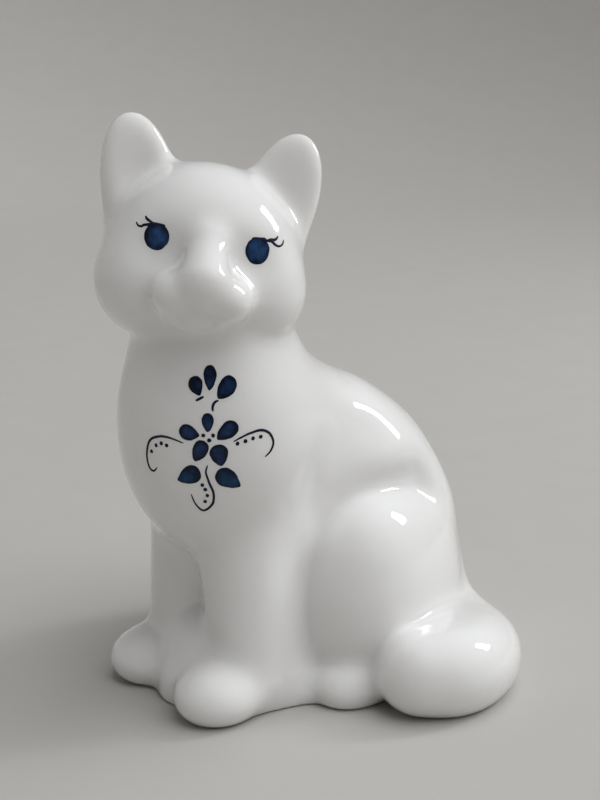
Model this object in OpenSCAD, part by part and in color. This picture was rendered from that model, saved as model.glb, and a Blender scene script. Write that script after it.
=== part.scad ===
// Seated cat figurine in glazed ceramic, with enamel eyes and a brushed flower sprig on the chest.
// The body faces -Y, the cat's own left is +X and the underside rests on Z = 0.
// Lengths are in millimetres and angles in degrees.

/* [Head] */
// Height of the middle of the head above the table
head_height = 71; // [67:0.5:75]
// Distance of the middle of the head in front of the middle of the base
head_forward = 13.3; // [11.5:0.1:15]
// Turn of the face to the cat's left
head_turn = 53; // [0:1:70]
// Upward pitch of the face
head_pitch = 2; // [-5:0.5:10]
// Lean of the head to the cat's left
head_lean = 7.5; // [-10:0.5:12]
// Width of the skull above the cheeks
skull_width = 28.8; // [26:0.2:32]
// Depth of the skull from brow to nape
skull_depth = 26.4; // [24:0.2:29]
// Height of the skull
skull_height = 26.8; // [25:0.2:29]
// Distance between the middles of the two cheeks
cheek_spacing = 15; // [13:0.2:17]
// Width of one cheek
cheek_width = 16.6; // [15:0.2:18]
// Depth of the hollow pressed in for each eye
eye_hollow = 6.4; // [5.2:0.1:7.4]
// Width of the muzzle
muzzle_width = 10.8; // [9.6:0.2:12]
// Distance between the middles of the two whisker pads
pad_spacing = 8; // [7:0.2:9]
// Distance of the tip of the nose bridge in front of the middle of the head
nose_reach = 15; // [14.2:0.1:16]
// Width of the rounded tip of the nose
nose_width = 7.2; // [6.4:0.1:8]

/* [Ears] */
// Distance between the middles of the two ears
ear_spacing = 20.8; // [18:0.2:22.6]
// Height of the middle of an ear above the middle of the head
ear_rise = 8.2; // [7:0.1:9.6]
// Length of the ear's whole oval, with the part inside the head
ear_length = 23.6; // [20:0.2:27]
// Width of an ear across its opening
ear_width = 11.8; // [10:0.2:13.4]
// Thickness of an ear from front to back before it is hollowed
ear_thickness = 6.4; // [5.4:0.1:7.4]
// Outward lean of the ears
ear_splay = 14; // [4:1:20]
// Outward turn of the ear openings
ear_turn = 10; // [0:1:20]
// Width of the shallow dish in the front of an ear
dish_width = 9.2; // [7.4:0.2:10.4]
// Depth of the dish
dish_depth = 1.6; // [1:0.1:2.2]

/* [Chest and neck] */
// Width of the chest
chest_width = 31.2; // [28:0.2:34]
// Depth of the chest from front to back
chest_depth = 29.2; // [27:0.2:32]
// Length of the chest from brisket to throat
chest_length = 40; // [37:0.5:43]
// Height of the middle of the chest
chest_height = 43.5; // [41:0.5:46]
// Distance of the middle of the chest in front of the middle of the base
chest_forward = 11.8; // [10.6:0.1:13]
// Width of the neck under the head
neck_width = 24; // [22:0.2:25.4]
// Radius of the ridge that fills the nape between neck and back
nape_radius = 4.4; // [3.6:0.1:5.2]
// Depth of the flat top of the neck below the middle of the head
neck_socket = 5; // [4:0.5:8]

/* [Back and base] */
// Width of the shoulders at the start of the back
shoulder_width = 23.4; // [21.4:0.2:25.4]
// Width of the middle of the back
back_width = 32.8; // [30:0.2:35.6]
// Height of the line through the middle of the back
back_height = 29.6; // [27.6:0.2:31.6]
// Width of the loin over the haunches
loin_width = 34.4; // [32:0.2:37]
// Width of the rump at the base
rump_width = 41.6; // [38.6:0.2:44]
// Distance of the rump's middle behind the middle of the base
rump_back = 19; // [17:0.2:21]
// Width of the belly above the paws
belly_width = 31; // [28:0.2:34]
// Radius of the foot rim between the paws
foot_rim = 4; // [3.2:0.1:4.8]
// Width of the web between the front paws
web_width = 9.2; // [8:0.2:10.6]

/* [Forelegs] */
// Radius of a foreleg at the shoulder
upper_leg = 8.1; // [7.3:0.1:8.9]
// Radius of a foreleg at the wrist
wrist = 6.5; // [5.8:0.1:7.2]
// Distance between the middles of the wrists
wrist_spacing = 16.6; // [15:0.2:18.2]
// Width of a front paw
front_paw_width = 13.4; // [12.2:0.2:14.6]
// Length of a front paw
front_paw_length = 14.6; // [13:0.2:16]
// Distance of the left front paw in front of the middle of the base
left_paw_forward = 18.5; // [16.9:0.1:20.1]
// Distance of the right front paw in front of the middle of the base
right_paw_forward = 16.9; // [15.5:0.1:18.5]

/* [Hind legs] */
// Distance between the middles of the two haunches
haunch_spacing = 29.8; // [27.8:0.2:31.8]
// Width of a haunch
haunch_width = 17.2; // [15.6:0.2:18.8]
// Length of a haunch from knee to rump
haunch_length = 30.8; // [28.4:0.2:33.2]
// Height of a haunch before it is cut by the table
haunch_height = 32.8; // [30.4:0.2:35.2]
// Forward tip of the haunches
haunch_tip = 8; // [4:0.5:12]
// Width of the knee at the front of a haunch
knee_width = 15.2; // [13.8:0.2:16.6]
// Distance between the middles of the two hind paws
hind_paw_spacing = 37.4; // [35.4:0.2:39.4]
// Width of a hind paw
hind_paw_width = 10.2; // [9.2:0.2:11.2]
// Length of a hind paw
hind_paw_length = 13.4; // [12:0.2:14.8]

/* [Tail] */
// Thickness of the tail behind the rump
tail_root = 12.2; // [11:0.1:13.4]
// Thickness of the tail in its bend at the flank
tail_bend = 14.5; // [13.1:0.1:15.9]
// Thickness of the tail near its tip
tail_tip = 13; // [11.8:0.1:14.2]
// Width of the flat inner side where the tail lies on the haunch
tail_fill = 3.2; // [2:0.1:4.2]

/* [Eyes] */
// Width of the coloured disc of an eye
eye_width = 3.6; // [3:0.02:4.2]
// Height of the coloured disc of an eye
eye_height = 3.9; // [3.3:0.02:4.4]
// Distance of the left eye to the left of the middle of the face
left_eye_side = 7.3; // [6.5:0.1:8.1]
// Height of the left eye above the middle of the head
left_eye_rise = 2.2; // [1.5:0.1:3]
// Distance of the right eye to the right of the middle of the face
right_eye_side = 7.3; // [6.5:0.1:8.1]
// Height of the right eye above the middle of the head
right_eye_rise = 2.5; // [1.8:0.1:3.2]

/* [Flower sprig] */
// Turn of the sprig round the chest to the cat's left
sprig_turn = 47; // [20:1:60]
// Height of the heart of the flower above the middle of the chest
sprig_rise = 2.3; // [1:0.1:4]
// Size of the sprig against its drawn size
sprig_scale = 1; // [0.8:0.02:1.1]

/* [Brushwork] */
// Width of a brushed line
line_width = 0.42; // [0.3:0.02:0.6]
// Diameter of a brushed dot
dot_width = 0.62; // [0.4:0.02:0.8]
// Thickness of the enamel
enamel_height = 0.2; // [0.1:0.02:0.4]
// Film between the ceramic's true curve and the underside of the enamel
enamel_bed = 0.05; // [0.04:0.01:0.1]

/* [Hidden] */

white_glaze = [0.93, 0.93, 0.91];
cobalt = [0.08, 0.20, 0.42];
navy = [0.05, 0.07, 0.17];

left = 1;
right = -1;

// Facets round and along each form
torso_round = 44;
torso_rings = 34;
head_round = 40;
head_rings = 23;
ear_round = 22;
ear_rings = 11;
leg_round = 24;
leg_rings = 17;
haunch_round = 26;
haunch_rings = 14;
paw_round = 18;
paw_rings = 9;
tail_round = 14;
end_turns = [22.5, 45, 67.5];
search_steps = 14;
taper_ease = 0.3;
line_steps = 4;
lash_steps = 2;
petal_round = 14;
eye_round = 20;
eye_waist = 0.55;
dot_round = 8;
floor_size = 200;
floor_depth = 40;
sunk = -1;

// Middle of the head, and its own axes to the left, to the back and up
head_middle = [0, -head_forward, head_height];
face_way = [sin(head_turn) * cos(head_pitch), -cos(head_turn) * cos(head_pitch), sin(head_pitch)];
level_left = [cos(head_turn), sin(head_turn), 0];
level_up = cross(level_left, -face_way);
head_left = cos(head_lean) * level_left - sin(head_lean) * level_up;
head_up = sin(head_lean) * level_left + cos(head_lean) * level_up;

// Eggs and softening of the head, in the head's own axes
skull_middle = [0, 0.5, 0.5];
skull_half = [skull_width, skull_depth, skull_height] / 2;
cheek_middle = [cheek_spacing / 2, -2.8, -4.6];
cheek_half = [cheek_width / 2, 8.6, 8.2];
cheek_soft = 4;
hollow_middle = [7.4, -15.4, 1.2];
hollow_half = [4.2, eye_hollow / 2, 2.6];
hollow_soft = 4.5;
muzzle_middle = [0, -11.8, -4.4];
muzzle_half = [muzzle_width / 2, 4.8, 3.8];
muzzle_soft = 2.4;
pad_middle = [pad_spacing / 2, -13.1, -5.2];
pad_half = [3.2, 3.5, 3];
pad_soft = 2;
bridge_top = [0, -11, 2.2];
bridge_radius = 2.8;
nose_tip = [0, -nose_reach, -2.6];
nose_soft = 2.4;
chin_middle = [0, -10.2, -8.3];
chin_half = [4.6, 3.6, 2.6];
chin_soft = 3.2;
head_core = [0, -2, -1.5];
head_crowding = 1.3;

// Eggs of the ears, in the head's axes and then in the ear's own
ear_middle = [ear_spacing / 2, 2, ear_rise];
ear_pitch = -4;
ear_half = [ear_width, ear_thickness, ear_length] / 2;
dish_half = [dish_width / 2, 3, 9.5];
dish_middle = [0, dish_depth - ear_half.y - dish_half.y, 1];
dish_soft = 3.2;
ear_core = 0.25;
ear_first = -45;
ear_last = 82;

// Eggs and tapered limbs of the trunk
chest_middle = [0, -chest_forward, chest_height];
chest_half = [chest_width, chest_depth, chest_length] / 2;
neck_top = head_height - neck_socket;
neck_low = [0, 0.8 - chest_forward, chest_height + 6.5];
neck_high = [0, 1.3 - head_forward, head_height - 9];
neck_low_radius = 13.4;
neck_soft = 4;
shoulder = [0, 12.3 - chest_forward, chest_height - 3.6];
mid_back = [0, rump_back - 7.2, back_height];
loin = [0, rump_back - 1.6, 20.9];
rump = [0, rump_back, 9];
back_soft = 10;
rump_soft = 8;
nape_high = [0, 3.5 - chest_forward, chest_height + 5.5];
nape_low = [0, mid_back.y + 0.4, back_height + 12.1];
nape_soft = 10;
trunk_soft = 9;
sole_front = [0, -8, 2];
sole_back = [0, rump_back - 9, 3];
sole_front_radius = 13;
sole_back_radius = 16;
sole_soft = 4;
belly_high = [0, 0, 24];
belly_low = [0, rump_back - 11, 16];
belly_high_radius = 13;
belly_soft = 5;
flank_high = [chest_width / 2 + 3.2, shoulder.y + 6, chest_height + 0.5];
flank_low = [chest_width / 2 + 4, shoulder.y - 1, chest_height - 7.5];
flank_radius = 5;
flank_soft = 5;
saddle_front = [back_width / 2 + 4.2, mid_back.y - 12.8, back_height + 0.4];
saddle_back = [back_width / 2 + 4.4, mid_back.y + 5.7, back_height + 2.6];
saddle_front_radius = 5.8;
saddle_back_radius = 4.8;
saddle_soft = 5;
trunk_core = [[0, 4], [25, 3], [chest_height + 12.5, -chest_forward], [neck_top, neck_high.y]];
trunk_reach = 60;

// Tapered limbs of the forelegs
leg_top = chest_height - 9.5;
upper_leg_place = [5, 1.3 - chest_forward, leg_top];
wrist_place = [wrist_spacing / 2, -11, 5];
upper_fill_place = [6.5, -5, leg_top - 7];
lower_fill_place = [7.5, -4, 4];
upper_fill = 5;
lower_fill = 6.5;
leg_soft = 4;
paw_soft = 3;
front_paw_half = [front_paw_width / 2, front_paw_length / 2, 4.9];
left_paw_place = [wrist_place.x + 0.3, -left_paw_forward, 3.6];
right_paw_place = [-wrist_place.x - 2.1, -right_paw_forward, 3.6];
leg_core = [wrist_place.x - 0.6, -12.5];

// Eggs of the hind legs
haunch_place = [haunch_spacing / 2, rump_back - 7, 14.6];
haunch_half = [haunch_width, haunch_length, haunch_height] / 2;
knee_place = [haunch_place.x + 0.5, haunch_place.y - 5.6, 16.4];
knee_half = [knee_width / 2, 8.2, 13.2];
knee_soft = 7;
haunch_reach = haunch_length;
hind_paw_place = [hind_paw_spacing / 2, haunch_place.y - 10.7, 2.4];
hind_paw_half = [hind_paw_width / 2, hind_paw_length / 2, 4.4];

// Foot rim from a front paw to a hind paw, and the web between the front paws
rim_front = [wrist_place.x - 0.3, -12, 1.5];
rim_back = [hind_paw_place.x - 2.7, hind_paw_place.y + 0.7, 1.5];
rim_soft = 3;
web_high = [0, -13, 7];
web_low = [0, -right_paw_forward - 0.5, 2];
web_high_radius = 6.5;
web_soft = 3;

// Path of the tail from behind the rump round the left haunch:
// place, radius, depth sunk in the table and share of the flat inner side
tail_gap = 0.55;
tail_back = rump_back + rump_width / 2 - 6.8;
tail_side = haunch_place.x + haunch_half.x + tail_bend / 2 + tail_gap;
root_half = tail_root / 2;
bend_half = tail_bend / 2;
tail_marks = [[0, tail_back, root_half, 1.7, 0],
    [tail_side - 19.4, tail_back - 1.1, root_half - 0.4, 2.2, 0.25],
    [tail_side - 8.7, tail_back - 6.4, bend_half - 0.95, 2.3, 0.75],
    [tail_side - 2.8, tail_back - 12.6, bend_half - 0.15, 2.1, 1],
    [tail_side, tail_back - 19, bend_half, 1.6, 0.95],
    [tail_side - 0.1, tail_back - 23.8, bend_half, 1.3, 0.4],
    [tail_side - 2.4, tail_back - 27.8, tail_tip / 2, 0.2, 0]];
tail_path = [for (m = tail_marks) [m[0], m[1], m[2] - m[3], m[2], m[4] * tail_fill]];

// Flat top of the eye, lid from its inner to its outer end, and lashes from the outer top corner of its box
eye_half = [eye_width, eye_height] / 2;
lid_gap = 0.03;
eye_flat = 0.86;
lid_inner = 125;
lid_outer = 50;
lid_steps = 8;
left_lash = [[0.2, -0.45], [0.75, -0.85], [1.4, -1.05], [1.9, -0.75], [2.05, -0.1]];
left_short_lash = [[-0.05, -0.12], [0.5, -0.2], [0.85, -0.05], [1.1, 0.35]];
right_lash = [[0.15, -0.6], [0.5, -0.85], [1, -0.8], [1.3, -0.35]];
right_short_lash = [[-0.7, 0.12], [-0.4, 0.2], [-0.12, 0.38], [0.05, 0.7]];

// Sprig, in millimetres to the cat's left of the flower's heart and above it.
// A drop is its middle, the way its point looks, its length and its width.
petals = [[0.2, 2.3, 270, 2.8, 1.9], [3.1, 1, 218, 3.8, 2.5], [-2.7, 0.7, 345, 3.3, 2.4],
    [-1.1, -2, 242, 3.5, 2.4], [1.9, -2.6, 282, 3.4, 2.8]];
bud = [[0.6, 8.7, 268, 3.6, 2.2], [-1.7, 7.5, 298, 2.9, 2.4], [3.2, 7.2, 226, 4, 2.7]];
leaf_pair = [[-3, -5.9, 205, 4.2, 2.9], [3.3, -6.4, 325, 4.5, 3]];
petal_point = 0.6;
leaf_point = 0.8;
stamens = [[-0.5, 0.4], [0.4, -0.3], [1, 0.4]];
short_stem = [[-1.7, 5.4], [-1.2, 5.65], [-0.4, 6]];
long_stem = [[1.9, 5.5], [1.3, 5.2], [1, 4.6], [1, 3.9]];
left_curl = [[4, -0.6], [5.9, 0.3], [8.1, 0.8], [9.5, 0.3], [10.3, -1.1], [9.9, -2.5], [8.9, -3.4]];
right_curl = [[-3.6, -0.9], [-5.8, -0.3], [-7.9, -0.3], [-9.8, -1.2], [-10.6, -3.4],
    [-10.4, -5.3], [-9.5, -5.9], [-8.6, -5.2]];
lower_curl = [[0.1, -4.1], [-0.2, -5.2], [0.2, -6.7], [0.9, -8.6], [0.7, -10.4],
    [-0.8, -11.6], [-2.1, -10.7], [-2.8, -8.9]];
left_dots = [[4.6, -0.9], [5.8, -0.6], [7, -0.3], [8.2, -0.2]];
right_dots = [[-9.5, -2.8], [-8.5, -1.7], [-7.5, -1.3], [-6.5, -1.5]];
lower_dots = [[-0.85, -7.3], [-0.4, -8], [-0.1, -9], [-0.5, -10]];
drop_fullness = 1.3;
drop_edge = 0.6;
line_taper = 0.35;
line_crown = 0.55;

// Soft union and soft cut of two fields that are negative inside
function blend(a, b, soft) =
    let(near = max(soft - abs(a - b), 0) / soft)
    min(a, b) - near * near * soft / 4;
function carve(a, b, soft) = -blend(-a, b, soft);

// Field of an egg with its three half sizes
function egg(p, middle, half) =
    let(q = p - middle,
        k = norm([q.x / half.x, q.y / half.y, q.z / half.z]),
        g = norm([q.x / pow(half.x, 2), q.y / pow(half.y, 2), q.z / pow(half.z, 2)]))
    g == 0 ? -half.x : k * (k - 1) / g;

// Field of a limb that tapers from one ball to another, with the taper eased at both ends
function rising(t) = t > taper_ease ? t : pow(max(t + taper_ease, 0), 2) / (4 * taper_ease);
function limb(p, a, b, ra, rb) =
    let(d = b - a, t = (p - a) * d / (d * d), share = 1 - rising(1 - rising(t)))
    norm(p - a - min(max(t, 0), 1) * d) - ra - share * (rb - ra);

function on_side(v, side) = [side * v.x, v.y, v.z];

// Head in its own axes
function head_field(q) =
    let(bare = egg(q, skull_middle, skull_half),
        cheeked = soft_pair(bare, q, cheek_middle, cheek_half, cheek_soft),
        hollowed = carve(carve(cheeked, egg(q, hollow_middle, hollow_half), hollow_soft),
            egg(q, on_side(hollow_middle, right), hollow_half), hollow_soft),
        padded = soft_pair(egg(q, muzzle_middle, muzzle_half), q, pad_middle, pad_half, pad_soft),
        nosed = blend(padded, limb(q, bridge_top, nose_tip, bridge_radius, nose_width / 2), nose_soft))
    blend(hollowed, blend(nosed, egg(q, chin_middle, chin_half), chin_soft), muzzle_soft);
function soft_pair(field, q, middle, half, soft) =
    blend(blend(field, egg(q, middle, half), soft), egg(q, on_side(middle, right), half), soft);

// Ear in its own axes, with the dish in its front
function ear_field(q) =
    carve(egg(q, [0, 0, 0], ear_half), egg(q, dish_middle, dish_half), dish_soft);

// Trunk from the base to the neck
function trunk_field(p) =
    let(front = blend(egg(p, chest_middle, chest_half),
            limb(p, neck_low, neck_high, neck_low_radius, neck_width / 2), neck_soft),
        naped = blend(front, limb(p, nape_high, nape_low, nape_radius, nape_radius), nape_soft),
        spine = blend(blend(limb(p, shoulder, mid_back, shoulder_width / 2, back_width / 2),
            limb(p, mid_back, loin, back_width / 2, loin_width / 2), back_soft),
            limb(p, loin, rump, loin_width / 2, rump_width / 2), rump_soft),
        soled = blend(blend(naped, spine, trunk_soft),
            limb(p, sole_front, sole_back, sole_front_radius, sole_back_radius), sole_soft),
        whole = blend(soled, limb(p, belly_high, belly_low, belly_high_radius, belly_width / 2), belly_soft),
        webbed = blend(flanked(flanked(whole, p, left), p, right),
            limb(p, web_high, web_low, web_high_radius, web_width / 2), web_soft))
    rimmed(rimmed(webbed, p, left), p, right);
function flanked(field, p, side) =
    carve(carve(field, limb(p, on_side(flank_high, side), on_side(flank_low, side),
        flank_radius, flank_radius), flank_soft),
        limb(p, on_side(saddle_front, side), on_side(saddle_back, side),
        saddle_front_radius, saddle_back_radius), saddle_soft);
function rimmed(field, p, side) =
    blend(field, limb(p, on_side(rim_front, side), on_side(rim_back, side), foot_rim, foot_rim), rim_soft);

// Foreleg with its paw
function leg_field(p, side) =
    let(shank = limb(p, on_side(upper_leg_place, side), on_side(wrist_place, side), upper_leg, wrist),
        filled = blend(shank, limb(p, on_side(upper_fill_place, side), on_side(lower_fill_place, side),
            upper_fill, lower_fill), leg_soft))
    blend(filled, egg(p, side == left ? left_paw_place : right_paw_place, front_paw_half), paw_soft);

// Haunch tipped forward, with the knee at its front
function haunch_field(p, side) =
    blend(egg(turned(p - on_side(haunch_place, side), -haunch_tip, 0, 0), [0, 0, 0], haunch_half),
        egg(p, on_side(knee_place, side), knee_half), knee_soft);

// Way along a ray from an inside point to where the field turns positive
function reach(field, from, way, low, high, steps) =
    let(mid = (low + high) / 2)
    steps == 0 ? mid :
    field(from + way * mid) < 0 ? reach(field, from, way, mid, high, steps - 1) :
    reach(field, from, way, low, mid, steps - 1);
function skin(field, from, way, far) = from + way * reach(field, from, way, 0, far, search_steps);

// Points of the head's and an ear's own axes in the shared axes
function from_head(q) = head_middle + q.x * head_left - q.y * face_way + q.z * head_up;
function turned(q, x, y, z) =
    let(a = [q.x, q.y * cos(x) - q.z * sin(x), q.y * sin(x) + q.z * cos(x)],
        b = [a.x * cos(y) + a.z * sin(y), a.y, a.z * cos(y) - a.x * sin(y)])
    [b.x * cos(z) - b.y * sin(z), b.x * sin(z) + b.y * cos(z), b.z];
function from_ear(q, side) =
    from_head(on_side(ear_middle, side) + turned(q, ear_pitch, side * ear_splay, -side * ear_turn));

// Skin of rings between a first and a last point
function ring_of(round, i, j) = 1 + i * round + j % round;
function wall_faces(rings, round) =
    [for (i = [0:rings - 2], j = [0:round - 1], half = [0, 1])
        half == 0 ?
            [ring_of(round, i, j), ring_of(round, i + 1, j), ring_of(round, i + 1, j + 1)] :
            [ring_of(round, i, j), ring_of(round, i + 1, j + 1), ring_of(round, i, j + 1)]];
function cap_faces(rings, round) =
    [for (j = [0:round - 1], last = [0, 1])
        last == 0 ? [0, ring_of(round, 0, j), ring_of(round, 0, j + 1)] :
            [1 + rings * round, ring_of(round, rings - 1, j + 1), ring_of(round, rings - 1, j)]];
module ringed(first, rings, last) {
    round = len(rings[0]);
    points = concat([first], [for (ring = rings, p = ring) p], [last]);
    polyhedron(points, concat(wall_faces(len(rings), round), cap_faces(len(rings), round)), convexity = 6);
}

// Trunk as level rings about its core, from under the table to the flat top of the neck
module trunk_form() {
    function core(z) = [0, lookup(z, trunk_core), z];
    rings = [for (i = [0:torso_rings - 1]) let(z = sunk + (neck_top - sunk) * i / (torso_rings - 1))
        [for (j = [0:torso_round - 1]) let(a = 360 * j / torso_round)
            skin(function(p) trunk_field(p), core(z), [cos(a), sin(a), 0], trunk_reach)]];
    ringed(core(sunk), rings, core(neck_top));
}

// Head as rings about the line of the nose, closer together at the muzzle
module head_form() {
    far = skull_width;
    function ray(open, a) = [sin(open) * cos(a), -cos(open), sin(open) * sin(a)];
    function spot(open, a) = from_head(skin(function(q) head_field(q), head_core, ray(open, a), far));
    rings = [for (i = [1:head_rings]) let(open = 180 * pow(i / (head_rings + 1), head_crowding))
        [for (j = [0:head_round - 1]) spot(open, -360 * j / head_round)]];
    ringed(spot(0, 0), rings, spot(180, 0));
}

// Ear as rings along its length
module ear_form(side) {
    function core(open) = [0, ear_core * ear_half.y * cos(open), ear_half.z * sin(open)];
    rings = [for (i = [0:ear_rings - 1])
        let(open = ear_first + (ear_last - ear_first) * i / (ear_rings - 1))
        [for (j = [0:ear_round - 1]) let(a = 360 * j / ear_round)
            from_ear(skin(function(q) ear_field(q), core(open), [cos(a), sin(a), 0], ear_width), side)]];
    ringed(from_ear(core(ear_first), side), rings, from_ear([0, 0, ear_half.z], side));
}

// Foreleg as level rings, from under the table to its flat top inside the chest
module leg_form(side) {
    function core(z) = [side * leg_core.x, leg_core.y, z];
    rings = [for (i = [0:leg_rings - 1]) let(z = sunk + (leg_top - sunk) * i / (leg_rings - 1))
        [for (j = [0:leg_round - 1]) let(a = 360 * j / leg_round)
            skin(function(p) leg_field(p, side), core(z), [cos(a), sin(a), 0], trunk_reach)]];
    ringed(core(sunk), rings, core(leg_top));
}

// Haunch as rings about a level line across it
module haunch_form(side) {
    middle = on_side(haunch_place, side);
    function spot(open, a) = skin(function(p) haunch_field(p, side), middle,
        [-cos(open), sin(open) * cos(a), sin(open) * sin(a)], haunch_reach);
    rings = [for (i = [1:haunch_rings]) [for (j = [0:haunch_round - 1])
        spot(180 * i / (haunch_rings + 1), 360 * j / haunch_round)]];
    ringed(spot(0, 0), rings, spot(180, 0));
}

// Hind paw as an egg of rings between its two outer ends along X
module hind_paw_form(side) {
    middle = on_side(hind_paw_place, side);
    function spot(open, a) = middle + [-hind_paw_half.x * cos(open),
        hind_paw_half.y * sin(open) * cos(a), hind_paw_half.z * sin(open) * sin(a)];
    rings = [for (i = [1:paw_rings]) [for (j = [0:paw_round - 1])
        spot(180 * i / (paw_rings + 1), 360 * j / paw_round)]];
    ringed(spot(0, 0), rings, spot(180, 0));
}

// Smooth path through a list of points
function along(path, i, t) =
    let(last = len(path) - 1, a = path[max(i - 1, 0)], b = path[i],
        c = path[min(i + 1, last)], d = path[min(i + 2, last)])
    b + (c - a) * t / 2 + (2 * a - 5 * b + 4 * c - d) * t * t / 2 + (3 * b - a - 3 * c + d) * pow(t, 3) / 2;
function smooth(path, steps) =
    concat([for (i = [0:len(path) - 2], k = [0:steps - 1]) along(path, i, k / steps)], [path[len(path) - 1]]);

// Tail as upright rings along its path, rounded at both ends
module tail_form() {
    path = smooth(tail_path, line_steps);
    last = len(path) - 1;
    function way(i) = let(d = path[min(i + 1, last)] - path[max(i - 1, 0)]) [d.x, d.y] / norm([d.x, d.y]);
    function ahead(i, size) = let(c = path[i], w = way(i) * c[3] * size) [c.x + w.x, c.y + w.y, c.z];
    function ring(i, turn) = let(w = way(i), r = path[i][3] * cos(turn))
        [for (j = [0:tail_round - 1])
            let(a = 360 * j / tail_round, out = r * cos(a) - (cos(a) < 0 ? path[i][4] : 0))
            ahead(i, sin(turn)) + [-w.y * out, w.x * out, r * sin(a)]];
    rings = concat([for (a = end_turns) ring(0, a - 90)],
        [for (i = [0:last]) ring(i, 0)],
        [for (a = end_turns) ring(last, a)]);
    ringed(ahead(0, -1), rings, ahead(last, 1));
}

// Everything below the table
module below_table() {
    translate([-floor_size / 2, -floor_size / 2, -floor_depth]) cube([floor_size, floor_size, floor_depth]);
}

// Point on the front of the chest, across and above the flower's heart, and a height above the skin
function on_chest(mark, height) =
    let(a = sprig_turn + sprig_scale * mark.x / (chest_width / 2) * 180 / PI,
        way = [sin(a), -cos(a), 0],
        from = chest_middle + [0, 0, sprig_rise + sprig_scale * mark.y])
    skin(function(p) trunk_field(p), from, way, trunk_reach) + way * height;

// Point on the face, across and above the middle of the head, and a height above the skin
function on_face(mark, height) =
    let(spot = skin(function(q) head_field(q), [mark.x, 0, mark.y], [0, -1, 0], skull_depth),
        way = (spot - skull_middle) / norm(spot - skull_middle))
    from_head(spot + way * height);

// Pool of enamel inside an outline, highest in the middle
module pool(place, middle, outline, waist) {
    round = len(outline);
    edge = enamel_bed + enamel_height * drop_edge;
    crown = enamel_bed + enamel_height;
    function ring(size, height) = [for (p = outline) place(middle + size * p, height)];
    rings = waist > 0 ?
        [ring(waist, enamel_bed), ring(1, enamel_bed), ring(1, edge), ring(waist, crown)] :
        [ring(1, enamel_bed), ring(1, edge)];
    ringed(place(middle, enamel_bed), rings, place(middle, crown));
}
function oval(half, round) =
    [for (j = [0:round - 1]) let(a = 360 * j / round) [half.x * cos(a), half.y * sin(a)]];
function drop(turn, length, width, point) =
    [for (j = [0:petal_round - 1]) let(a = 360 * j / petal_round,
        x = length / 2 * cos(a), y = width / 2 * sin(a) * (1 - point + point * drop_fullness * sin(a / 2)))
        [x * cos(turn) - y * sin(turn), x * sin(turn) + y * cos(turn)]];

// Brushed line along a path, thinner at its ends
module line(place, path) {
    last = len(path) - 1;
    function way(i) = let(d = path[min(i + 1, last)] - path[max(i - 1, 0)]) d / norm(d);
    function broad(i) = line_width / 2 * (line_taper + (1 - line_taper) * sqrt(sin(180 * i / last)));
    function ring(i) = let(w = way(i), n = [-w.y, w.x] * broad(i))
        [place(path[i] - n, enamel_bed), place(path[i] + n, enamel_bed),
            place(path[i] + n * line_crown, enamel_bed + enamel_height),
            place(path[i] - n * line_crown, enamel_bed + enamel_height)];
    rings = [for (i = [0:last]) ring(i)];
    middle_height = enamel_bed + enamel_height / 2;
    ringed(place(path[0], middle_height), rings, place(path[last], middle_height));
}
module chest_drops(list, point) {
    for (d = list) pool(function(m, h) on_chest(m, h), [d[0], d[1]], drop(d[2], d[3], d[4], point), 0);
}
module chest_dots(list) {
    for (d = list) pool(function(m, h) on_chest(m, h), d, oval([dot_width, dot_width] / 2, dot_round), 0);
}
module chest_line(path) {
    line(function(m, h) on_chest(m, h), smooth(path, line_steps));
}

// Eye, and the lid line that runs on into the long lash, on one side of the face
function eye_place(side) =
    side == left ? [left_eye_side, left_eye_rise] : [-right_eye_side, right_eye_rise];
module eye(side) {
    outline = [for (p = oval(eye_half, eye_round)) [p.x, min(p.y, eye_half.y * eye_flat)]];
    pool(function(m, h) on_face(m, h), eye_place(side), outline, eye_waist);
}
module lashes(side, long, short) {
    function put(p) = eye_place(side) + [side * p.x, p.y];
    function lash(path) = [for (p = smooth(path, lash_steps)) put(eye_half + p)];
    room = line_width / 2 + lid_gap;
    lid = [for (k = [0:lid_steps]) let(a = lid_inner + (lid_outer - lid_inner) * k / lid_steps)
        put([(eye_half.x + room) * cos(a), min((eye_half.y + room) * sin(a), eye_half.y * eye_flat + room)])];
    line(function(m, h) on_face(m, h), concat(lid, lash(long)));
    line(function(m, h) on_face(m, h), lash(short));
}

module torso() color(white_glaze) difference() {
    trunk_form();
    below_table();
}
module head() color(white_glaze) difference() {
    head_form();
    trunk_form();
}
module ear(side) difference() {
    ear_form(side);
    head_form();
}
module left_ear() color(white_glaze) ear(left);
module right_ear() color(white_glaze) ear(right);
module foreleg(side) difference() {
    leg_form(side);
    trunk_form();
    below_table();
}
module left_foreleg() color(white_glaze) foreleg(left);
module right_foreleg() color(white_glaze) foreleg(right);
module haunch(side) difference() {
    haunch_form(side);
    trunk_form();
    leg_form(side);
    below_table();
}
module left_haunch() color(white_glaze) haunch(left);
module right_haunch() color(white_glaze) haunch(right);
module hind_paw(side) difference() {
    hind_paw_form(side);
    trunk_form();
    leg_form(side);
    haunch_form(side);
    below_table();
}
module left_hind_paw() color(white_glaze) hind_paw(left);
module right_hind_paw() color(white_glaze) hind_paw(right);
module tail() color(white_glaze) difference() {
    tail_form();
    trunk_form();
    haunch_form(left);
    hind_paw_form(left);
    below_table();
}
module left_eye() color(cobalt) eye(left);
module right_eye() color(cobalt) eye(right);
module left_lashes() color(navy) lashes(left, left_lash, left_short_lash);
module right_lashes() color(navy) lashes(right, right_lash, right_short_lash);
module flower_petals() color(cobalt) chest_drops(petals, petal_point);
module flower_stamens() color(navy) chest_dots(stamens);
module bud_petals() color(cobalt) chest_drops(bud, petal_point);
module bud_stems() color(navy) {
    chest_line(short_stem);
    chest_line(long_stem);
}
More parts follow.
